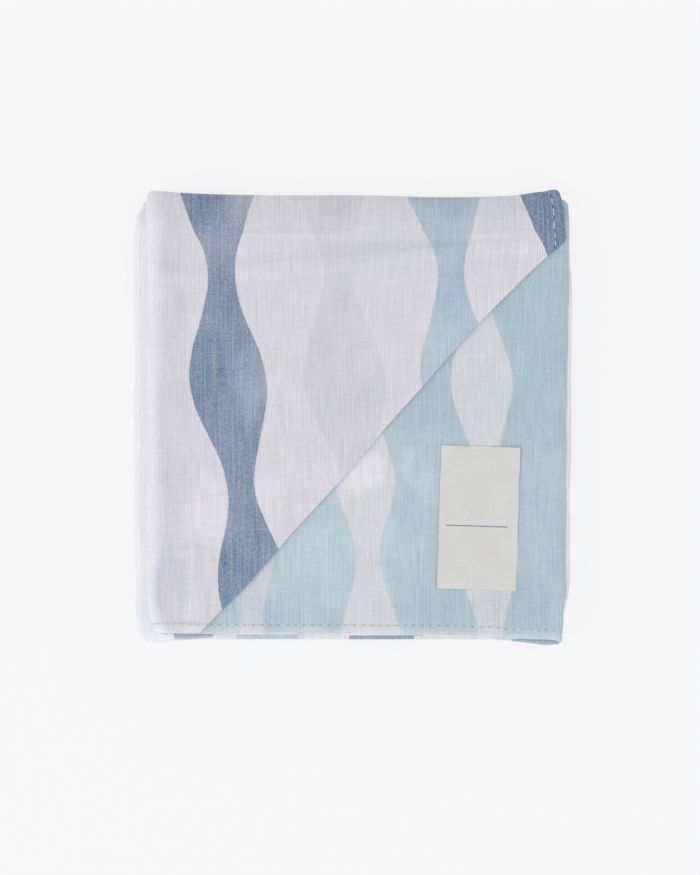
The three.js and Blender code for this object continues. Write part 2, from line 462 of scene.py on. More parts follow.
@dataclass(frozen=True)
class TurnedCorner:
    """The corner of the sheet that is turned under, along a slanting crease."""

    across: float = 120.4
    along: float = 131.9
    lift: float = 0.56
    over_corner: Ramp = Ramp(-4.4, -0.2)
    over_hem: Ramp = Ramp(-1.2, 0.0)
    inside_hem: Ramp = Ramp(2.9, 4.4)
    off_crease: Ramp = Ramp(0.0, 1.8)
    bow_reach: float = 26.0

    @property
    def radius(self) -> float:
        """The radius of the bend, in the middle of the cloth's thickness."""
        return self.lift / 2.0

    @property
    def bend(self) -> float:
        """How much cloth the bend takes up."""
        return math.pi * self.radius

    @property
    def to_corner(self) -> Array:
        """The unit vector in the flat sheet, square to the crease, that points to the corner."""
        return -np.array([self.along, self.across]) / math.hypot(self.across, self.along)

    @property
    def reach(self) -> float:
        """How far the corner of the sheet lies past the start of the bend."""
        return self.radius + CLOTH_THICKNESS / 2.0 - self.to_corner[0] * self.across

    def past(self, flat: Array) -> Array:
        """How far points of the flat sheet are past the start of the bend."""
        return self.to_corner @ flat + self.reach

    def moved(self, flat: Array, distance: Array) -> Array:
        """Points of the flat sheet, moved a distance towards the corner."""
        return flat + np.outer(self.to_corner, distance)

    def place(self, flat: Array, offset: Array, hem: float) -> tuple[Array, Array]:
        """Turns the corner under.

        Args:
            flat: Places across and along the flat sheet.
            offset: Distances from the middle of the cloth towards its printed side.
            hem: How much a hem adds to the thickness.

        Returns:
            The places after the turn, and how far they are raised.
        """
        past = self.past(flat)
        inside = self.moved(flat, -2.0 * past).min(axis=0)
        hem_beneath = self.over_hem.up(inside) * self.inside_hem.down(inside) * self.off_crease.up(-past)
        raised = self.lift * self.over_corner.up(inside) + hem * hem_beneath
        angle = np.clip(past, 0.0, self.bend) / self.radius
        beyond = np.maximum(past - self.bend, 0.0)
        inward = (self.radius + offset) * np.sin(angle) - beyond - np.maximum(past, 0.0)
        round_bend = self.lift - self.radius + (self.radius + offset) * np.cos(angle)
        return self.moved(flat, inward), np.where(past > 0, round_bend, raised + offset)

    def draw_back(self, flat: Array, share: Array) -> Array:
        """Draws points back by a share of the crease's bow, and less the farther they lie from it."""
        back = share * CREASE_BOW.read("back", np.clip(1.0 - flat[0] / self.across, 0.0, 1.0))
        return self.moved(flat, -back * np.exp(-((self.past(flat) / self.bow_reach) ** 2)))


@dataclass
class FoldedSheet:
    """The flat sheet and the way it is folded. All sizes are in millimetres."""

    # The cloth, with its hems and the groove that the stitching pulls in.
    hem_extra: float = 0.34
    hem_width: float = 3.4
    hem_edge: Ramp = Ramp(3.1, 4.1)
    rim_round: float = 0.55
    rim_least: float = 0.3
    groove_depth: float = 0.12
    groove_width: float = 0.35
    # The fold across: levels above the middle of the strip's three layers, and places in X.
    top_level: float = 1.25
    last_level: float = 0.68
    lowest_level: float = -1.30
    left: float = -68.5
    inner_hem: float = -65.0
    side_hem: float = 69.5
    right: float = 71.5
    spread_left: float = -69.8
    spread_right: float = 71.5
    side_reach: float = 0.13
    # The fold along: heights, and places in Y.
    packet_height: float = 3.6
    packet_pitch: float = 3.9
    lower_fold: float = -75.15
    lower_hem: float = -72.5
    packet_end: float = 61.2
    fine_from: float = 50.0
    brow: float = 62.5
    upper_fold: float = 74.9
    fold_back: float = 4.7
    sink: float = 2.5
    lowered: float = 0.25
    # How far the lower packets swell beside the top one, in shares of their height.
    puff: float = 0.50
    puff_far_left: float = 0.55
    puff_right: float = 0.6
    beside_left: Ramp = Ramp(-69.9, -68.9)
    far_left: Ramp = Ramp(-74.2, -71.6)
    right_edge: float = 71.0
    right_widens: Ramp = Ramp(-5.0, 52.0)
    beside_right: Ramp = Ramp(-1.1, -0.1)
    packet_middle: float = -1.5
    near_folds: Ramp = Ramp(67.0, 78.0)
    # How far the folds and hems stand out in Y, where, and how far on that still shows.
    upper_corners_out: float = 1.8
    upper_corners_at: float = 69.0
    upper_right_in: float = 3.0
    lower_layers: Ramp = Ramp(150.0, 200.0)
    upper_right: Ramp = Ramp(62.0, 72.0)
    upper_dip: float = 0.75
    dip_begins: Ramp = Ramp(0.0, 34.0)
    dip_ends: Ramp = Ramp(52.0, 63.0)
    lower_right_out: float = 0.1
    lower_right: Ramp = Ramp(20.0, 58.0)
    lower_left_out: float = 0.8
    lower_left: Ramp = Ramp(55.0, 63.0)
    inner_slant: float = 1.2
    fold_reach: float = 12.0
    hem_reach: float = 26.0
    ripple_reach: float = 9.0
    inner_reach: float = 40.0
    # How far the lowest layer of the strip rises and falls, and how soon it does beside the folds.
    loose_height: float = 0.22
    loose_reach: float = 12.0
    # How far across the side hem's swing shows, and from where along the crease's bow fades.
    swing_reach: float = 11.0
    bow_fades_from: float = 121.0
    # Where the lower packets begin after the upper fold, and at which heights the soft forms show.
    lower_packets: Ramp = Ramp(-1.0, 4.0)
    upper_layers: Ramp = Ramp(1.0, 9.0)
    corner: TurnedCorner = field(default_factory=TurnedCorner)

    LEFT_TURN, LOWEST_LAYER, RIGHT_TURN = 1, 2, 3
    SLOPE, UPPER_TURN, LOWER_TURN = 2, 3, 6
    NEAR_HEM = (0.0, 0.25, 0.8, 1.7, 2.5, 2.95, 3.2, 3.45, 4.0, 4.8)

    def __post_init__(self) -> None:
        """Works out both folded lines."""
        self.across = self._fold_across()
        self.along = self._fold_along()

    def _fold_across(self) -> Profile:
        """The line across: the top layer, the lowest one below it, and the last one between them.

        Returns:
            The line.
        """
        half = CLOTH_THICKNESS / 2.0
        left_radius = (self.top_level - self.lowest_level) / 2.0
        right_radius = (self.last_level - self.lowest_level) / 2.0
        left_turn = self.left + left_radius + half
        right_turn = self.right - right_radius - half
        left_centre = (self.top_level + self.lowest_level) / 2.0
        right_centre = (self.last_level + self.lowest_level) / 2.0
        return Profile(
            [
                Straight(1.7, self.side_hem, left_turn, self.top_level, 1),
                HalfTurn(0.4, left_turn, left_centre, left_radius, 1, 1),
                Straight(5.5, left_turn, right_turn, self.lowest_level, -1),
                HalfTurn(0.4, right_turn, right_centre, right_radius, 1, 1, -math.pi / 2),
                Straight(2.0, right_turn, self.inner_hem, self.last_level, 1),
            ]
        )

    def _fold_along(self) -> Profile:
        """The line along: the top packet, the middle one below it, and the lowest one.

        Returns:
            The line.
        """
        lowest = self.packet_height / 2.0
        middle = lowest + self.packet_pitch
        highest = middle + self.packet_pitch
        radius = self.packet_pitch / 2.0
        upper_turn = self.upper_fold - self.fold_back
        outer = Slope(1.0, self.brow, upper_turn, middle, self.sink, self.packet_pitch, 1)
        inner = Slope(1.0, self.brow, upper_turn, middle, self.sink, 0.0, -1, backwards=True)
        angle = outer.final_angle
        centre_run = upper_turn + radius * math.sin(angle)
        centre_rise = middle - self.sink + radius * math.cos(angle)
        lower_turn = self.lower_fold + radius + self.packet_height / 2.0
        return Profile(
            [
                Straight(1.2, self.lower_hem, self.fine_from, highest, 1),
                Straight(0.7, self.fine_from, self.brow, highest, 1),
                outer,
                HalfTurn(0.5, centre_run, centre_rise, radius, -1, 1, math.pi / 2 - angle),
                inner,
                Straight(5.5, self.brow, lower_turn, middle, -1),
                HalfTurn(0.5, lower_turn, middle - radius, radius, 1, -1),
                Straight(5.5, lower_turn, self.packet_end, lowest, 1),
            ]
        )

    @property
    def size(self) -> Array:
        """How wide and how long the flat sheet is."""
        return np.array([self.across.length, self.along.length])

    def edge_distance(self, flat: Array) -> Array:
        """How far points of the flat sheet lie from its nearest edge."""
        return np.minimum(flat, self.size[:, None] - flat).min(axis=0)

    def hem_share(self, flat: Array) -> Array:
        """One where the cloth is doubled by a hem, and zero elsewhere."""
        return self.hem_edge.down(self.edge_distance(flat))

    def face_offsets(self, flat: Array) -> tuple[Array, Array]:
        """How far the cloth's two faces lie from the middle of a single layer.

        Args:
            flat: Places across and along the flat sheet.

        Returns:
            The offsets of the printed and the reverse face.
        """
        distance = self.edge_distance(flat)
        to_rim = 1.0 - np.clip(distance / self.rim_round, 0.0, 1.0)
        rounding = self.rim_least + (1.0 - self.rim_least) * np.sqrt(1.0 - to_rim**2)
        swell = self.hem_extra * self.hem_share(flat) / 2.0
        groove = self.groove_depth * np.exp(-(((distance - SEAM_INSET) / self.groove_width) ** 2))
        half = (CLOTH_THICKNESS / 2.0 + swell) * rounding
        return half - swell - groove, -swell - half

    def _undulation(self, x: Array, y: Array) -> Array:
        """How far the upper side of the stack stands above a level plane.

        Args:
            x: Places in X.
            y: Places in Y.

        Returns:
            The heights there.
        """
        height = np.zeros_like(x)
        for wave in WAVES:
            heading = math.radians(wave.heading)
            way = x * math.cos(heading) + y * math.sin(heading)
            height = height + wave.height * np.sin(FULL_TURN * way / wave.length + wave.phase)
        for form in SOFT_FORMS:
            turn = math.radians(form.turn)
            dx, dy = x - form.x, y - form.y
            way = dx * math.cos(turn) + dy * math.sin(turn)
            beside = dy * math.cos(turn) - dx * math.sin(turn)
            height = height + form.height * np.exp(-((way / form.length) ** 2) - (beside / form.width) ** 2)
        return height

    def _puffed(self, x: Array, y: Array) -> Array:
        """How much thicker the lower packets are beside the top one, where nothing presses on them.

        Args:
            x: Places in X.
            y: Places in Y.

        Returns:
            The added thickness, as a share of the height.
        """
        outward = self.puff_far_left + (1.0 - self.puff_far_left) * self.far_left.up(x)
        left = self.beside_left.down(x) * outward
        right = self.puff_right * self.beside_right.up(x - self.right_edge - self.right_widens.up(y))
        return self.puff * (left + right) * self.near_folds.down(np.abs(y - self.packet_middle))

    def _layer_wave(self, across: Array, along: Array) -> Array:
        """How far the lowest layer of the strip, which lies loose, sinks in a wave of its own.

        Args:
            across: Places across the flat sheet.
            along: Places along it.

        Returns:
            The distances.
        """
        start, end = self.across.starts[self.LOWEST_LAYER], self.across.starts[self.RIGHT_TURN]
        loose = smoothstep(np.minimum(across - start, end - across), 0.0, self.loose_reach)
        wave = LOOSE_RIPPLES[0].of(across) * LOOSE_RIPPLES[1].of(along)
        return self.loose_height * loose * (1.0 + wave) / 2.0

    def _wander(self, x: Array, across: Array, along: Array) -> Array:
        """How far points wander in Y from the straight folds and hems.

        Args:
            x: Their places in X.
            across: Their places across the sheet.
            along: Their places along it.

        Returns:
            The distances.
        """
        upper = self.upper_corners_out * (x / self.upper_corners_at) ** 4
        upper = upper - self.upper_right_in * self.lower_layers.up(across) * self.upper_right.up(x)
        upper = upper - self.upper_dip * self.dip_begins.up(x) * self.dip_ends.down(x)
        lower = self.lower_right_out * self.lower_right.up(x) + self.lower_left_out * self.lower_left.up(-x)
        return (
            upper * bell(along, self.along.middle_of(self.UPPER_TURN), self.fold_reach)
            - lower * bell(along, self.along.middle_of(self.LOWER_TURN), self.fold_reach)
            - LOWER_HEM.read("down", across) * bell(along, 0.0, self.hem_reach)
            - self.inner_slant * x / self.right * bell(along, self.along.length, self.inner_reach)
            + HEM_RIPPLE.of(across) * bell(along, 0.0, self.ripple_reach)
        )

    def fold(self, flat: Array, offset: Array) -> Array:
        """Where points of the flat sheet lie once folded.

        Args:
            flat: Places across and along the flat sheet.
            offset: Distances from the middle of the cloth towards its printed side.

        Returns:
            The points, one a row, in metres.
        """
        top = flat[0] < self.across.starts[self.LEFT_TURN]
        before_bend = -self.corner.past(flat)
        turned, raised = self.corner.place(flat, offset, self.hem_extra)
        hem = self.hem_extra * self.hem_share(flat) * self.corner.off_crease.up(before_bend)
        raised = raised + np.where(top & (before_bend >= 0), hem, 0.0) - self._layer_wave(*flat)
        bow_fades = Ramp(self.bow_fades_from, self.along.starts[self.SLOPE])
        across, along = self.corner.draw_back(turned, np.where(top, bow_fades.down(turned[1]), 0.0))

        section = self.across.at(across)
        spine = self.along.at(along)
        share = (section.run + section.normal_run * raised - self.left) / (self.right - self.left)
        left, right = self.spread_left, self.spread_right
        x = left + (right - left) * share
        for side, start, away in (("left", left, share), ("right", right, 1.0 - share)):
            edge = SIDES.read(side, along) + sum(ripple.of(along) for ripple in SIDE_RIPPLES[side])
            x = x + (edge - start) * np.clip(1.0 - away / self.side_reach, 0.0, 2.0) ** 2
        x = x + np.where(top, HEM_SWING.read("out", along) * bell(across, 0.0, self.swing_reach), 0.0)
        height = section.rise + section.normal_rise * raised
        y = spine.run + spine.normal_run * height + self._wander(x, across, along)
        z = spine.rise + spine.normal_rise * height - self.lowered
        past_fold = along - self.along.starts[self.UPPER_TURN + 1]
        z = z * (1.0 + self._puffed(x, y) * self.lower_packets.up(past_fold))
        z = z + self._undulation(x, y) * self.upper_layers.up(z)
        return np.stack([x, y, np.maximum(z, 0.0)], axis=1) * MM

    def upper_surface(self, x: Array, y: Array) -> Array:
        """The height, in millimetres, of the layer that the turned corner uncovers."""
        level = self.packet_height / 2.0 + 2.0 * self.packet_pitch + self.last_level - self.lowered
        return level + CLOTH_THICKNESS / 2.0 + self._undulation(x, y)


# ---- shader maths


def operator(operation: str, reflected: bool = False) -> Callable[["Wire", "Term"], "Wire"]:
    """Makes an operator of Wire out of a Math node's operation.

    Args:
        operation: The operation.
        reflected: Whether the wire stands on the right.

    Returns:
        The operator.
    """

    def apply(wire: "Wire", other: "Term") -> "Wire":
        """Adds the node."""
        return wire.bench.maths(operation, *((other, wire) if reflected else (wire, other)))

    return apply


class Wire:
    """The output of a shader node, which takes part in arithmetic as a number does."""

    __add__ = __radd__ = operator("ADD")
    __sub__ = operator("SUBTRACT")
    __rsub__ = operator("SUBTRACT", reflected=True)
    __mul__ = __rmul__ = operator("MULTIPLY")

    def __init__(self, bench: "ShaderBench", socket: bpy.types.NodeSocket) -> None:
        """Wraps a socket of the bench's material."""
        self.bench = bench
        self.socket = socket

    def __abs__(self) -> "Wire":
        """The value without its sign."""
        return self.bench.maths("ABSOLUTE", self)

    def clipped(self) -> "Wire":
        """The value kept between 0 and 1."""
        return self.bench.node("ShaderNodeClamp", sockets={0: self})

    def beside(self, output: Union[int, str]) -> "Wire":
        """Another output of the same node."""
        return Wire(self.bench, self.socket.node.outputs[output])


Term = Union[Wire, float]
SocketValue = Union[Wire, float, Sequence[float]]


class FlatPlace(NamedTuple):
    """A place on a flat cloth, in millimetres, with its parts across and along."""

    whole: Wire
    across: Wire
    along: Wire


class ShaderBench:
    """A material whose nodes are being laid out."""

    def __init__(self, name: str) -> None:
        """Makes an empty material.

        Args:
            name: Its name.
        """
        self.material = bpy.data.materials.new(name)
        self.material.use_nodes = True
        self.tree = self.material.node_tree
        self.tree.nodes.clear()

    def node(
        self,
        kind: str,
        settings: Optional[dict[str, Any]] = None,
        sockets: Optional[dict[Union[int, str], SocketValue]] = None,
        output: Union[int, str] = 0,
    ) -> Wire:
        """Adds a node.

        Args:
            kind: Its type.
            settings: Its own settings, which are set first.
            sockets: The values or links of its inputs.
            output: Which of its outputs is wanted.

        Returns:
            That output, or the first input of a node without outputs.
        """
        made = self.tree.nodes.new(kind)
        for name, value in (settings or {}).items():
            setattr(made, name, value)
        for key, value in (sockets or {}).items():
            if isinstance(value, Wire):
                self.tree.links.new(value.socket, made.inputs[key])
            else:
                made.inputs[key].default_value = value
        return Wire(self, (made.outputs or made.inputs)[output])

    def maths(self, operation: str, *values: Term) -> Wire:
        """Adds a Math node."""
        return self.node("ShaderNodeMath", {"operation": operation}, dict(enumerate(values)))

    def mixed(self, factor: Term, first: SocketValue, second: SocketValue) -> Wire:
        """Mixes two colours, from the first at a factor of 0 to the second at 1."""
        return self.node("ShaderNodeMix", {"data_type": "RGBA"}, {0: factor, 6: first, 7: second}, 2)

    def tinted(self, factor: Term, base: Wire, by: SocketValue) -> Wire:
        """Multiplies a colour by another one, as far as the factor says."""
        settings = {"data_type": "RGBA", "blend_type": "MULTIPLY"}
        return self.node("ShaderNodeMix", settings, {0: factor, 6: base, 7: by}, 2)

    def scaled(self, vector: Wire, by: Sequence[float]) -> Wire:
        """Multiplies a vector, one axis at a time."""
        return self.node("ShaderNodeVectorMath", {"operation": "MULTIPLY"}, {0: vector, 1: tuple(by)})

    def noise(self, vector: Wire, scale: float, detail: float = 2.0, roughness: float = 0.5) -> Wire:
        """A soft noise with values about 0.5."""
        sockets = {"Vector": vector, "Scale": scale, "Detail": detail, "Roughness": roughness}
        return self.node("ShaderNodeTexNoise", {"noise_dimensions": "3D"}, sockets)

    def waver(self, vector: Wire, scale: float, detail: float, size: float) -> Wire:
        """A soft noise with values about zero, as large as the size says."""
        return (self.noise(vector, scale, detail) - 0.5) * size

    def sine(self, value: Wire, period: float) -> Wire:
        """A sine wave."""
        return self.maths("SINE", value * (FULL_TURN / period))

    def step(self, value: Wire, low: float, high: float) -> Wire:
        """Eases from 0 at the low end to 1 at the high one."""
        settings = {"interpolation_type": "SMOOTHSTEP"}
        return self.node("ShaderNodeMapRange", settings, {0: value, 1: low, 2: high, 3: 0.0, 4: 1.0})

    def patch(self, value: Wire, middle: float, edge: float, core: float) -> Wire:
        """One within the core about a value's middle, and zero from the edge on."""
        return self.step(abs(value - middle), edge, core)

    def flat_place(self, width: float, length: float) -> FlatPlace:
        """Reads the map "Flat" as a place on a flat cloth.

        Args:
            width: The cloth's width.
            length: Its length.

        Returns:
            The place.
        """
        flat = self.scaled(self.node("ShaderNodeUVMap", {"uv_map": FLAT_MAP}), (width, length, 0.0))
        across = self.node("ShaderNodeSeparateXYZ", sockets={0: flat})
        return FlatPlace(flat, across, across.beside(1))

    def finished(
        self, colour: Wire, roughness: float, shine: float, sheen: float = 0.0, relief: Optional[Wire] = None
    ) -> bpy.types.Material:
        """Adds the surface shader and the output.

        Args:
            colour: The base colour.
            roughness: How rough the surface is.
            shine: Its specular level.
            sheen: How much sheen it has.
            relief: Its normals, if it isn't smooth.

        Returns:
            The finished material.
        """
        sockets = {"Base Color": colour, "Roughness": roughness, "Specular IOR Level": shine}
        sockets["Sheen Weight"] = sheen
        if relief:
            sockets["Normal"] = relief
        surface = self.node("ShaderNodeBsdfPrincipled", sockets=sockets)
        self.node("ShaderNodeOutputMaterial", sockets={"Surface": surface})
        return self.material

    def bump(self, height: Wire, strength: float, distance: float) -> Wire:
        """The normals of a surface with this relief."""
        sockets = {"Strength": strength, "Distance": distance, "Height": height}
        return self.node("ShaderNodeBump", sockets=sockets)


# ---- finishes


class Dye(Enum):
    """The colours of the print, and a painted highlight for the folds at the sides: a paler and a deeper tint
    that each wavers between, and a washed-out one.
    """

    WHITE = ((233, 230, 237), (222, 219, 226), (243, 240, 245))
    SEA = ((184, 206, 216), (167, 193, 205), (231, 246, 251))
    INK = ((142, 161, 184), (109, 131, 158), (236, 243, 248))
    MIST = ((224, 222, 229), (211, 210, 218), (243, 240, 245))
    SKY = ((187, 209, 221), (165, 190, 204), (236, 243, 248))
    FROST = ((228, 226, 230), (208, 217, 224), (243, 240, 244))
    # Not a dye of the print: painted highlight, which makes the folds at the sides as bright as the light
    # from the side makes them.
    BARE = ((246, 245, 250), (239, 238, 244), (250, 249, 252))


@dataclass(frozen=True)
class Stripe:
    """A wavy stripe of the print, or of painted light or shade along a fold, which runs along the sheet and
    swells and narrows.

    It may lean, and bend with the cloth's bow. Beyond the upper end of its layer it may flare, or stray
    sideways. Its soft edge is half on each side.
    """

    centre: float
    lean: float
    crest: float
    dye: Dye
    middle: float = 8.6
    swing: float = 4.05
    period: float = 71.5
    strength: float = 1.0
    bend: float = 0.0
    flare: float = 0.0
    stray: float = 0.0
    soft: float = 0.3


STRIPES = (
    # Painted highlight on the folds at the left side.
    Stripe(141.6, 0.0, 0.0, Dye.BARE, 5.6, 0.0, 100.0, soft=5.0),
    # Painted shade along the rounding of the top layer's left fold, and along the outer rounding below it.
    Stripe(138.5, 0.0, 0.0, Dye.MIST, 1.9, 0.0, 100.0, 0.4, soft=1.2),
    # Painted highlight on the folds at the right side.
    Stripe(275.0, 0.0, 0.0, Dye.BARE, 3.6, 0.0, 100.0, soft=0.6),
    Stripe(128.6, 0.0, 66.0, Dye.MIST, 4.2, 1.2, 92.0, 0.7, soft=3.0),
    Stripe(129.6, 0.0, 16.0, Dye.MIST, 1.4, 1.8, 38.0, 0.8, soft=0.8),
    Stripe(-14.2, 0.0, 83.0, Dye.INK, bend=1.0, flare=1.0, stray=1.4),
    Stripe(21.7, 0.007, 84.5, Dye.SKY, bend=1.0, flare=1.7, stray=2.0),
    Stripe(60.7, 0.0, 84.5, Dye.MIST, 9.35, 4.65, bend=1.0, flare=-1.0, stray=1.4, soft=0.8),
    Stripe(99.55, 0.0, 84.5, Dye.INK, bend=1.0, flare=1.8, stray=0.65),
    Stripe(154.0, 0.0, 0.0, Dye.INK, 3.3, 3.9, 120.0),
    Stripe(183.2, -0.014, 83.0, Dye.SKY, 7.4, 3.3),
    Stripe(221.2, -0.014, 83.0, Dye.INK, 7.6, 3.3),
    Stripe(269.1, 0.0, 0.0, Dye.INK, 4.6, 4.0, 440.0),
    Stripe(305.1, 0.037, 84.0, Dye.FROST, 7.1, 3.15, 56.6, soft=0.6),
    Stripe(344.9, 0.037, 52.3, Dye.FROST, 6.9, 3.0, 54.0, soft=0.6),
    Stripe(384.6, 0.037, 31.0, Dye.FROST, 6.6, 2.8, 54.0, 0.7, soft=1.4),
    Stripe(410.0, 0.030, 84.7, Dye.FROST, 5.0, 2.5, 56.3, 0.4, soft=2.0),
)


class Wash(NamedTuple):
    """A soft patch where a dye is washed out, or deeper if its light is below zero. A few rows are painted
    light or painted shade of the cloth's soft folds instead.
    """

    across: float
    along: float
    reach_across: float
    reach_along: float
    light: float


WASHES = {
    Dye.SEA: (
        Wash(357, 36, 44, 44, 0.28),
        Wash(330, 40, 8, 11, -0.11),
        Wash(288, 26, 12, 16, 0.09),
        Wash(288, 53, 14, 17, 0.14),
        Wash(326, 56, 12, 16, 0.14),
        Wash(393, 4, 6, 7, 0.12),
    ),
    Dye.FROST: (
        Wash(350, 38, 24, 34, 0.14),
        Wash(348, 54, 10, 9, 0.85),
        Wash(374, 8, 8, 8, 0.20),
        Wash(305, 6, 15, 12, -0.16),
        Wash(385, 3, 7, 6, 0.30),
    ),
    Dye.INK: (
        Wash(120, 145, 12, 14, -0.95),
        Wash(104, 145, 10, 12, 0.20),
        Wash(120, 88, 10, 18, -0.44),
        Wash(102, 87, 10, 16, 0.16),
        Wash(106, 118, 12, 20, -0.18),
        Wash(110, 18, 14, 16, -0.42),
        Wash(0, 141, 26, 36, -0.98),
    ),
    Dye.SKY: (
        Wash(42, 95, 12, 16, 0.18),
        Wash(38, 118, 12, 16, -0.16),
        Wash(39, 142, 14, 12, -0.22),
    ),
    Dye.WHITE: (
        # Painted light: a brighter patch where a soft fold of the cloth faces the light.
        Wash(118, 42, 10, 16, 0.45),
        Wash(99, 43, 10, 13, 0.34),
        Wash(131, 140, 10, 12, 0.26),
        Wash(130, 15, 7, 14, -0.34),
        # Painted shade: darker patches below the soft ridge and on the slope towards the upper fold.
        Wash(56, 128, 26, 10, -0.12),
        Wash(22, 142, 10, 8, -0.14),
    ),
    Dye.BARE: (
        # Less of the painted fold highlight near the lower fold.
        Wash(143, 293, 16, 14, -0.09),
    ),
}


@dataclass(frozen=True)
class CottonFinish:
    """Soft woven cotton with a print in wavy stripes, with painted light and shade at its folds, between its
    threads and along its stitching.
    """

    width: float
    length: float
    ground_change: float
    fading: float = 0.0
    warp: float = 0.70
    weft: float = 0.62
    fold_across: float = 141.0
    bow: float = 14.4
    bow_period: float = 600.0
    slub_across: float = 105.0
    slub_along: float = 35.6
    wear: float = 0.13
    deepening: Tint = (146, 194, 217)
    bare_thread: Tint = (226, 225, 231)
    faded: Tint = (224, 223, 228)
    doubled: Tint = (240, 246, 250)
    thick_thread: Tint = (224, 225, 230)
    thread_shade: Tint = (214, 216, 222)
    seam_shade: Tint = (120, 150, 166)

    def _print(self, bench: ShaderBench, at: FlatPlace) -> Wire:
        """Lays out the print.

        Args:
            bench: The material's bench.
            at: The place on the sheet.

        Returns:
            The colour.
        """
        flat, across, along = at
        depth = bench.noise(flat, 0.07, 4.0, 0.62) * 0.55 + bench.noise(flat, 0.75, 3.0, 0.6) * 0.45
        depth = bench.step(depth, 0.30, 0.70)
        ragged = bench.waver(flat, 0.16, 3.0, 1.3)

        def dyed(dye: Dye) -> Wire:
            """A dye, wavering between its two tints, with its washes.

            Args:
                dye: The dye.

            Returns:
                The colour.
            """
            pale, deep, washed_out = (tint(colour) for colour in dye.value)
            colour = bench.mixed(depth, pale, deep)
            for wash in WASHES.get(dye, ()):
                over = (across - wash.across) * (1.0 / wash.reach_across)
                up = (along - wash.along) * (1.0 / wash.reach_along)
                spot = bench.step(over * over + up * up + ragged, 1.1, 0.0) * abs(wash.light)
                if wash.light > 0.0:
                    colour = bench.mixed(spot, colour, washed_out)
                else:
                    colour = bench.tinted(spot, colour, tint(self.deepening))
            return colour

        place = across + (bench.waver(flat, 0.045, 1.0, 1.6) + bench.waver(flat, 1.1, 2.0, 0.55))
        bow = bench.sine(along, self.bow_period) * self.bow
        upper = bench.step(along, 124.0, 147.0)
        worn = 1.0 - bench.step(along, 112.0, 134.0) * self.wear
        change = bench.step(place, self.ground_change - 0.4, self.ground_change + 0.4)
        dyes = {dye: dyed(dye) for dye in Dye}
        colour = bench.mixed(change, dyes[Dye.WHITE], dyes[Dye.SEA])
        for stripe in STRIPES:
            turn = FULL_TURN / stripe.period
            swell = bench.maths("COSINE", along * turn - stripe.crest * turn)
            half = swell * stripe.swing + stripe.middle + upper * stripe.flare
            line = place
            for shift, share in ((along, stripe.lean), (bow, stripe.bend), (upper, stripe.stray)):
                line = line - shift * share if share else line
            away = abs(line - stripe.centre)
            mask = ((half - away) * (1.0 / stripe.soft) + 0.5).clipped() * stripe.strength * worn
            colour = bench.mixed(mask, colour, dyes[stripe.dye])
        return colour

    def _worn_off(self, bench: ShaderBench, at: FlatPlace) -> Wire:
        """Where the threads show bare through the print.

        Args:
            bench: The material's bench.
            at: The place on the sheet.

        Returns:
            How bare they are, from 0 to 1.
        """
        flat, across, along = at
        fleck = bench.noise(bench.scaled(flat, (2.1, 1.8, 1.0)), 1.0, 2.0, 0.7)
        warp_streak = bench.noise(bench.scaled(flat, (1.45, 0.05, 1.0)), 1.0, 1.0)
        bare = bench.step(fleck * 0.68 + warp_streak * 0.32, 0.42, 0.62) * 0.33
        specks = bench.step(bench.noise(flat, 0.9, 1.0), 0.72, 0.77) * 0.4
        slub = bench.patch(along + bench.noise(flat, 0.2, 1.0) * 0.5, self.slub_along, 0.34, 0.10)
        slub = slub * bench.patch(across, self.slub_across, 8.5, 6.0) * bench.step(fleck, 0.35, 0.6)
        return bench.maths("MAXIMUM", bench.maths("MAXIMUM", bare, specks), slub * 0.45)

    def _weave(self, bench: ShaderBench, at: FlatPlace) -> tuple[Wire, Wire, Wire]:
        """Lays out the threads.

        Args:
            bench: The material's bench.
            at: The place on the sheet.

        Returns:
            The height of the threads, how much thicker or thinner the cloth is there, and a value
            that is 1 between the threads, where shade is painted.
        """
        flat, across, along = at
        drift = bench.waver(flat, 0.12, 2.0, 1.6)
        warp = bench.sine(across + drift * 0.5, self.warp)
        weft = bench.sine(along + drift, self.weft)
        slub_warp = bench.noise(bench.scaled(flat, (2.6, 0.06, 1.0)), 1.0, 2.0, 0.6)
        slub_weft = bench.noise(bench.scaled(flat, (0.10, 2.9, 1.0)), 1.0, 2.0, 0.6)
        body = slub_warp * 0.66 + slub_weft * 0.34
        height = warp * 0.34 + weft * 0.22 + warp * weft * 0.16 + body * 2.2
        return height, body, bench.step(warp * 0.6 + weft * 0.4, 0.35, -0.85)

    def _sewn(self, bench: ShaderBench, colour: Wire, at: FlatPlace) -> Wire:
        """Paints shade along the stitch line, and more of it at the needle holes.

        Args:
            bench: The material's bench.
            colour: The cloth's colour.
            at: The place on the sheet.

        Returns:
            The colour with this painted shade.
        """
        across, along = at.across, at.along
        sides = bench.maths("MINIMUM", across, self.width - across)
        ends = bench.maths("MINIMUM", along, self.length - along)
        # Painted shade: darker along the stitching's groove, and more at the needle holes between the
        # stitches.
        seam_shade = 1.0 - bench.step(abs(bench.maths("MINIMUM", sides, ends) - SEAM_INSET), 0.10, 0.42)
        run = across + (along - across) * bench.maths("LESS_THAN", sides, ends)
        hole_shade = bench.maths("COSINE", (run - SEAM_INSET) * (FULL_TURN / STITCH_PITCH))
        return bench.tinted(seam_shade * 0.12 + seam_shade * bench.step(hole_shade, 0.15, 0.85) * 0.34, colour, tint(self.seam_shade))

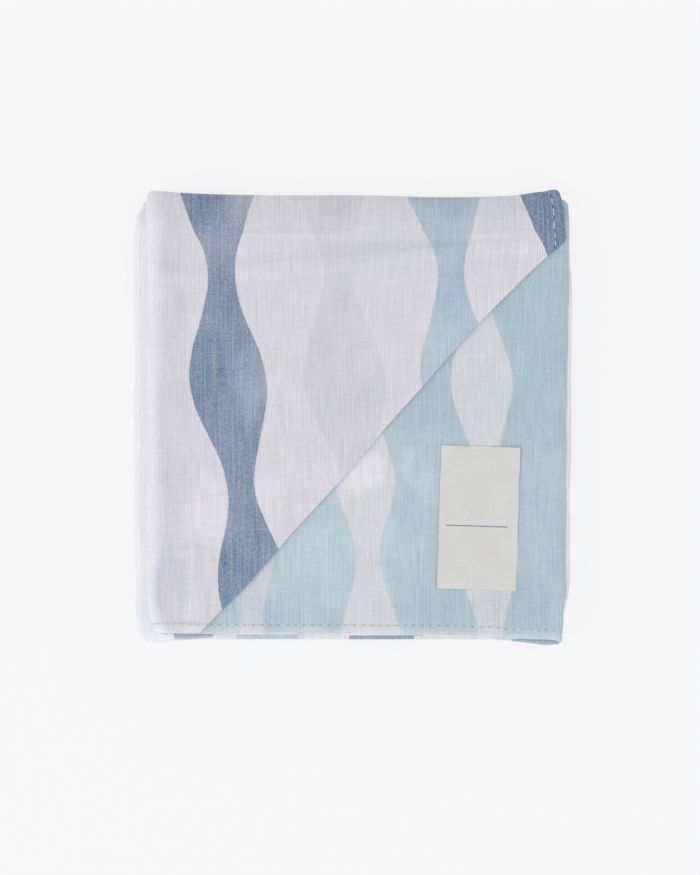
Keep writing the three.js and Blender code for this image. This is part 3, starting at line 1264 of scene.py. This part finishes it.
    def material(self, name: str) -> bpy.types.Material:
        """Makes the material.

        Args:
            name: Its name.

        Returns:
            The material.
        """
        bench = ShaderBench(name)
        at = bench.flat_place(self.width, self.length)
        colour = self._print(bench, at)
        colour = bench.mixed(self._worn_off(bench, at), colour, tint(self.bare_thread))
        if self.fading:
            colour = bench.mixed(self.fading, colour, tint(self.faded))
        ends = bench.maths("MINIMUM", at.along, self.length - at.along)
        doubled = (1.0 - bench.step(ends, 3.3, 3.8)) * 0.17 + bench.step(ends, 2.6, 0.0) * 0.20
        colour = bench.mixed(doubled, colour, tint(self.doubled))
        height, body, thread_shade_mask = self._weave(bench, at)
        grainy = 0.5 - bench.patch(at.across, self.fold_across, 10.0, 4.0) * 0.34
        colour = bench.tinted(bench.step(body, 0.40, 0.62) * grainy, colour, tint(self.thick_thread))
        # Painted shade between the threads.
        colour = bench.tinted(thread_shade_mask * grainy, colour, tint(self.thread_shade))
        colour = self._sewn(bench, colour, at)
        relief = bench.bump(height + bench.noise(at.whole, 0.34, 3.0, 0.6) * 1.6, 0.6, 0.00012)
        return bench.finished(colour, roughness=0.93, shine=0.18, sheen=0.12, relief=relief)


@dataclass(frozen=True)
class ThreadFinish:
    """White sewing thread with a fine twist."""

    pale: Tint = (224, 223, 229)
    deep: Tint = (198, 203, 213)

    def material(self, name: str) -> bpy.types.Material:
        """Makes the material.

        Args:
            name: Its name.

        Returns:
            The material.
        """
        bench = ShaderBench(name)
        ply = bench.noise(bench.node("ShaderNodeTexCoord", output="Object"), 2200.0, 2.0)
        colour = bench.mixed(bench.step(ply, 0.35, 0.65), tint(self.pale), tint(self.deep))
        return bench.finished(colour, roughness=0.8, shine=0.2)


@dataclass(frozen=True)
class LabelFinish:
    """Smooth undyed label cloth with a plain dark rule across it."""

    width: float
    length: float
    pale: Tint = (215, 215, 212)
    deep: Tint = (207, 206, 203)
    rule: Tint = (84, 98, 138)
    rule_length: float = 20.6
    rule_width: float = 0.36
    rule_x: float = -0.5
    rule_y: float = -2.7
    thread_pitch: float = 0.42

    def material(self, name: str) -> bpy.types.Material:
        """Makes the material.

        Args:
            name: Its name.

        Returns:
            The material.
        """
        bench = ShaderBench(name)
        flat, across, along = bench.flat_place(self.width, self.length)
        fibre = bench.noise(bench.scaled(flat, (1.0, 0.55, 1.0)), 1.9, 3.0, 0.6)
        shade = bench.step(fibre * 0.6 + bench.noise(flat, 0.12, 2.0) * 0.4, 0.36, 0.64)
        colour = bench.mixed(shade, tint(self.pale), tint(self.deep))
        beside = abs(across - (self.width / 2.0 + self.rule_x))
        above = abs(along - (self.length / 2.0 + self.rule_y))
        within = ((self.rule_length / 2.0 - beside) * 5.0 + 0.5).clipped()
        on_rule = ((self.rule_width / 2.0 - above) * 6.0 + 0.5).clipped()
        colour = bench.mixed(within * on_rule * 0.86, colour, tint(self.rule))
        threads = bench.sine(across, self.thread_pitch) * bench.sine(along, self.thread_pitch)
        relief = bench.bump(threads * 0.25 + fibre * 0.8, 0.4, 0.00006)
        return bench.finished(colour, roughness=0.82, shine=0.25, relief=relief)


@dataclass(frozen=True)
class FloorFinish:
    """A matt, nearly white floor."""

    colour: Tint = (247, 247, 248)
    seen_flat: float = 0.86

    def material(self, name: str) -> bpy.types.Material:
        """Makes the material, which shows part of its colour without shading to the camera.

        Args:
            name: Its name.

        Returns:
            The material.
        """
        bench = ShaderBench(name)
        colour = tint(self.colour)
        dull = {"Base Color": colour, "Roughness": 1.0, "Specular IOR Level": 0.0}
        matt = bench.node("ShaderNodeBsdfPrincipled", sockets=dull)
        even = bench.node("ShaderNodeEmission", sockets={"Color": colour, "Strength": 1.0})
        rays = bench.node("ShaderNodeLightPath", output="Is Camera Ray")
        seen = bench.maths("MAXIMUM", rays, rays.beside("Is Glossy Ray"))
        seen = bench.maths("MAXIMUM", seen, rays.beside("Is Transmission Ray"))
        surface = bench.node("ShaderNodeMixShader", sockets={0: seen * self.seen_flat, 1: matt, 2: even})
        bench.node("ShaderNodeOutputMaterial", sockets={"Surface": surface})
        return bench.material


# ---- mesh helpers


def mesh_object(name: str, points: Array, faces: Sequence[Sequence[int]]) -> bpy.types.Object:
    """Makes an object from points and faces, with smooth shading.

    Args:
        name: Its name.
        points: Its points in metres, one a row.
        faces: The points of each face, in order.

    Returns:
        The object, in the scene.
    """
    mesh = bpy.data.meshes.new(name)
    mesh.from_pydata(points.tolist(), [], [list(face) for face in faces])
    mesh.validate()
    mesh.polygons.foreach_set("use_smooth", [True] * len(mesh.polygons))
    mesh.update()
    made = bpy.data.objects.new(name, mesh)
    bpy.context.scene.collection.objects.link(made)
    return made


def closed_sheet(
    name: str, upper: Array, lower: Array, faces: Sequence[Sequence[int]], shares: Array
) -> bpy.types.Object:
    """Makes a thin closed piece from the two sides of one mesh and a rim between them.

    It gets the map "Flat", the place of each point on the flat cloth as shares of the cloth's size.

    Args:
        name: Its name.
        upper: The points of its upper side in metres, one a row.
        lower: The points of its lower side, in the same order.
        faces: The points of each face of one side, in order as seen from below.
        shares: The two shares of each point, one a row.

    Returns:
        The piece, with the faces of its upper side, its lower side and its rim, in that order.
    """
    count = len(upper)
    edges = {edge: None for face in faces for edge in zip(face, [*face[1:], face[0]])}
    rim = [[start, end, end + count, start + count] for start, end in edges if (end, start) not in edges]
    above = [list(reversed(face)) for face in faces]
    below = [[index + count for index in face] for face in faces]
    piece = mesh_object(name, np.concatenate([upper, lower]), [*above, *below, *rim])
    corners = np.empty(len(piece.data.loops), dtype=np.int32)
    piece.data.loops.foreach_get("vertex_index", corners)
    places = np.concatenate([shares, shares])[corners].astype(np.float32)
    piece.data.uv_layers.new(name=FLAT_MAP).data.foreach_set("uv", places.ravel())
    return piece


# ---- pieces


@dataclass
class Cloth:
    """The folded cloth, one closed piece with both faces and the rim at its hems."""

    sheet: FoldedSheet
    bend_lines: int = 6
    on_the_line: float = 0.03
    reverse_fading: float = 0.5

    def _flat_mesh(self) -> tuple[Array, list[list[int]]]:
        """Lays out the flat sheet as a grid that is cut along the bend of the turned corner.

        Returns:
            The points, across and along, and the faces.
        """
        across = self.sheet.across.stations(self.sheet.NEAR_HEM)
        along = self.sheet.along.stations(self.sheet.NEAR_HEM)
        grid = bmesh.new()
        rows = [[grid.verts.new((a, b, 0.0)) for b in along] for a in across]
        for i in range(1, len(across)):
            for j in range(1, len(along)):
                grid.faces.new((rows[i - 1][j - 1], rows[i][j - 1], rows[i][j], rows[i - 1][j]))
        corner = self.sheet.corner
        normal = (*corner.to_corner, 0.0)
        for i in range(-1, self.bend_lines + 2):
            past = corner.bend * i / self.bend_lines - corner.reach
            point = (normal[0] * past, normal[1] * past, 0.0)
            everything = [*grid.verts, *grid.edges, *grid.faces]
            bmesh.ops.bisect_plane(
                grid, geom=everything, dist=self.on_the_line, plane_co=point, plane_no=normal
            )
        bmesh.ops.triangulate(grid, faces=[face for face in grid.faces if len(face.verts) > 4])
        grid.verts.index_update()
        points = np.array([vert.co[:2] for vert in grid.verts], dtype=float).T
        faces = [[vert.index for vert in face.verts] for face in grid.faces]
        grid.free()
        return points, faces

    def build(self) -> bpy.types.Object:
        """Builds the cloth.

        Returns:
            The cloth, with its flat map; its faces are sorted between two materials, which dress adds.
        """
        flat, faces = self._flat_mesh()
        printed, reverse = (self.sheet.fold(flat, offset) for offset in self.sheet.face_offsets(flat))
        piece = closed_sheet("cloth", printed, reverse, faces, flat.T / self.sheet.size)
        LOG.info("flat size: %.0f x %.0f mm", *self.sheet.size)

        hemmed = self.sheet.edge_distance(flat) < self.sheet.hem_width
        slots = np.zeros(len(piece.data.polygons), dtype=np.int32)
        slots[len(faces) : 2 * len(faces)] = [not all(hemmed[index] for index in face) for face in faces]
        piece.data.polygons.foreach_set("material_index", slots)
        return piece

    def dress(self, piece: bpy.types.Object) -> None:
        """Gives the cloth its printed side and its paler reverse.

        Args:
            piece: The cloth.
        """
        change = self.sheet.across.middle_of(self.sheet.RIGHT_TURN)
        size = (self.sheet.across.length, self.sheet.along.length)
        piece.data.materials.append(CottonFinish(*size, change).material("printed cotton"))
        reverse = CottonFinish(*size, change, fading=self.reverse_fading)
        piece.data.materials.append(reverse.material("cotton reverse"))


@dataclass
class Stitching:
    """The machine stitches along the four hems, on both faces of the cloth."""

    sheet: FoldedSheet
    dash: float = 2.15
    thread: float = 0.14
    tapering: float = 0.72
    flattened: float = 0.8
    end_depth: float = 0.10
    arch: float = 0.16
    skew: Ripple = Ripple(0.10, 1.0 / 2.39)
    loose_stitch: tuple[float, float] = (271.6, 1.5)
    rings: int = 6
    sides: int = 6

    def _rows(self) -> list[tuple[Array, Array, tuple[float, float]]]:
        """Lays out the rows of stitches.

        Returns:
            For each row, the middles of its stitches across and along, and the way it runs.
        """
        width, length = self.sheet.across.length, self.sheet.along.length
        first = SEAM_INSET + STITCH_PITCH / 2.0
        rows = []
        for level in (SEAM_INSET, length - SEAM_INSET):
            places = np.arange(first, width - SEAM_INSET, STITCH_PITCH)
            rows.append((places, np.full_like(places, level), (1.0, 0.0)))
        for level in (SEAM_INSET, width - SEAM_INSET):
            places = np.arange(first, length - SEAM_INSET, STITCH_PITCH)
            rows.append((np.full_like(places, level), places, (0.0, 1.0)))
        rows.append((*(np.array([place]) for place in self.loose_stitch), (0.0, 1.0)))
        return rows

    def _stitch_faces(self) -> list[list[int]]:
        """The faces of one stitch, a closed tube whose points go ring by ring.

        Returns:
            The points of each face, in order.
        """
        last = (self.rings - 1) * self.sides
        faces = []
        for ring in range(0, last, self.sides):
            for side in range(self.sides):
                a, b = ring + side, ring + (side + 1) % self.sides
                faces.append([a, b, b + self.sides, a + self.sides])
        return [*faces, list(reversed(range(self.sides))), [last + side for side in range(self.sides)]]

    def build(self) -> bpy.types.Object:
        """Builds all the stitches as one piece.

        Returns:
            The stitches.
        """
        shares = np.linspace(-1.0, 1.0, self.rings)[None, :, None]
        angles = (np.arange(self.sides) * FULL_TURN / self.sides)[None, None, :]
        radius = np.sqrt(1.0 - self.tapering * shares**2) * self.thread
        lift = self.flattened * np.sin(angles) * radius + self.arch * (1.0 - shares**4) - self.end_depth
        stitch_faces = self._stitch_faces()
        points, faces, used = [], [], 0
        for across, along, (way_across, way_along) in self._rows():
            skew = self.skew.of(np.arange(len(across)))[:, None, None]
            run = np.broadcast_to(shares * self.dash / 2.0, (len(across), self.rings, self.sides))
            side = np.cos(angles) * radius + skew * shares
            lifted = np.broadcast_to(lift, run.shape).ravel()
            a = across[:, None, None] + run * way_across + side * way_along
            b = along[:, None, None] + run * way_along + side * way_across
            flat = np.stack([a.ravel(), b.ravel()])
            printed, reverse = self.sheet.face_offsets(flat)
            for offset in (printed + lifted, reverse - lifted):
                points.append(self.sheet.fold(flat, offset))
                for _ in across:
                    faces.extend([[index + used for index in face] for face in stitch_faces])
                    used += self.rings * self.sides
        return mesh_object("hem_stitches", np.concatenate(points), faces)

    def dress(self, piece: bpy.types.Object) -> None:
        """Gives the stitches their thread."""
        piece.data.materials.append(ThreadFinish().material("sewing thread"))


@dataclass
class Label:
    """The plain label on the layer that the turned corner uncovers."""

    sheet: FoldedSheet
    width: float = 26.5
    length: float = 48.0
    thickness: float = 0.26
    x: float = 41.6
    y: float = -33.9
    turn: float = -1.75
    clearance: float = 0.05
    far_curl: float = 0.34
    near_curl: float = 0.22
    side_ripple: Ripple = Ripple(0.05, 2.3)
    sharp_angle: float = 40.0
    columns: int = 22
    rows: int = 38

    def build(self) -> bpy.types.Object:
        """Builds the label, as a thin closed sheet that follows the cloth beneath it.

        Returns:
            The label, with its flat map.
        """
        steps = (np.linspace(0.0, 1.0, self.columns + 1), np.linspace(0.0, 1.0, self.rows + 1))
        share_x, share_y = (share.ravel() for share in np.meshgrid(*steps, indexing="ij"))
        along = (share_y - 0.5) * self.length
        across = (share_x - 0.5) * self.width
        across = across + self.side_ripple.of(along) * np.abs(share_x - 0.5) * 2.0
        turn = math.radians(self.turn)
        x = self.x + across * math.cos(turn) - along * math.sin(turn)
        y = self.y + across * math.sin(turn) + along * math.cos(turn)
        curl = self.far_curl * (share_x * share_y) ** 5
        curl = curl + self.near_curl * ((1.0 - share_x) * (1.0 - share_y)) ** 6
        base = self.sheet.upper_surface(x, y) + self.clearance + curl
        upper = np.stack([x, y, base + self.thickness], axis=1) * MM
        lower = np.stack([x, y, base], axis=1) * MM
        column = self.rows + 1
        starts = [i * column + j for i in range(self.columns) for j in range(self.rows)]
        faces = [[a + 1, a + 1 + column, a + column, a] for a in starts]
        piece = closed_sheet("plain_label", upper, lower, faces, np.stack([share_x, share_y], axis=1))
        piece.data.set_sharp_from_angle(angle=math.radians(self.sharp_angle))
        return piece

    def dress(self, piece: bpy.types.Object) -> None:
        """Gives the label its cloth and its rule."""
        piece.data.materials.append(LabelFinish(self.width, self.length).material("label cloth"))


class Lamp(NamedTuple):
    """A square soft lamp that points at the object, with its power in watts."""

    name: str
    x: float
    y: float
    z: float
    watts: float


LAMPS = (
    Lamp("window", -2.3, -0.5, 1.1, 17.0),
    Lamp("front card", 0.3, -2.3, 1.1, 12.0),
    Lamp("side card", 2.3, 0.2, 1.1, 6.0),
)


@dataclass
class Studio:
    """The floor, the lamps and the camera. All sizes are in metres."""

    frame_height: float = 0.2931
    aim_x: float = -0.0015
    aim_y: float = -0.0069
    camera_distance: float = 1.6
    plane_height: float = 0.011
    sensor_mm: float = 36.0
    lamp_size: float = 1.4
    floor_size: float = 4.0
    sky: float = 0.81

    def build(self) -> None:
        """Sets up the floor, the lamps, the world and the camera."""
        signs = np.array([(-1, -1, 0), (1, -1, 0), (1, 1, 0), (-1, 1, 0)])
        floor = mesh_object("floor", signs * self.floor_size / 2.0, [[0, 1, 2, 3]])
        floor.data.materials.append(FloorFinish().material("pale floor"))

        world = bpy.data.worlds.new("studio")
        world.use_nodes = True
        background = world.node_tree.nodes["Background"]
        background.inputs["Color"].default_value = (1.0, 1.0, 1.0, 1.0)
        background.inputs["Strength"].default_value = self.sky
        bpy.context.scene.world = world
        for lamp in LAMPS:
            self._hang(lamp)
        self._aim_camera()
        bpy.context.scene.view_settings.view_transform = "Standard"

    def _hang(self, lamp: Lamp) -> None:
        """Adds a lamp.

        Args:
            lamp: The lamp.
        """
        data = bpy.data.lights.new(lamp.name, "AREA")
        data.shape = "SQUARE"
        data.size = self.lamp_size
        data.energy = lamp.watts
        made = bpy.data.objects.new(lamp.name, data)
        bpy.context.scene.collection.objects.link(made)
        made.location = (lamp.x, lamp.y, lamp.z)
        tilt = math.acos(lamp.z / math.hypot(lamp.x, lamp.y, lamp.z))
        made.rotation_euler = (tilt, 0.0, math.atan2(lamp.y, lamp.x) + math.pi / 2)

    def _aim_camera(self) -> None:
        """Adds the camera, straight above the object."""
        data = bpy.data.cameras.new("camera")
        data.sensor_width = self.sensor_mm
        data.lens = self.sensor_mm * self.camera_distance / self.frame_height
        data.clip_start, data.clip_end = 0.1, 10.0
        camera = bpy.data.objects.new("camera", data)
        bpy.context.scene.collection.objects.link(camera)
        camera.location = (self.aim_x, self.aim_y, self.camera_distance + self.plane_height)
        bpy.context.scene.camera = camera


# ---- main


def made(maker: Union[Cloth, Stitching, Label]) -> bpy.types.Object:
    """Builds and dresses a piece, and reports it.

    Args:
        maker: What makes the piece.

    Returns:
        The piece.
    """
    piece = maker.build()
    maker.dress(piece)
    LOG.info("%s: %d faces", piece.name, len(piece.data.polygons))
    return piece


def main() -> None:
    """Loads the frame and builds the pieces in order."""
    logging.basicConfig(level=logging.INFO, format="%(message)s")
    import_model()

    Studio().build()
    sheet = FoldedSheet()

    cloth = made(Cloth(sheet))
    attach(cloth, "root")
    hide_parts("folded_cloth")

    stitches = made(Stitching(sheet))
    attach(stitches, "root")

    label = made(Label(sheet))
    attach(label, "root")
    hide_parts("label")

    LOG.info("sizes written")


if __name__ == "__main__":
    main()
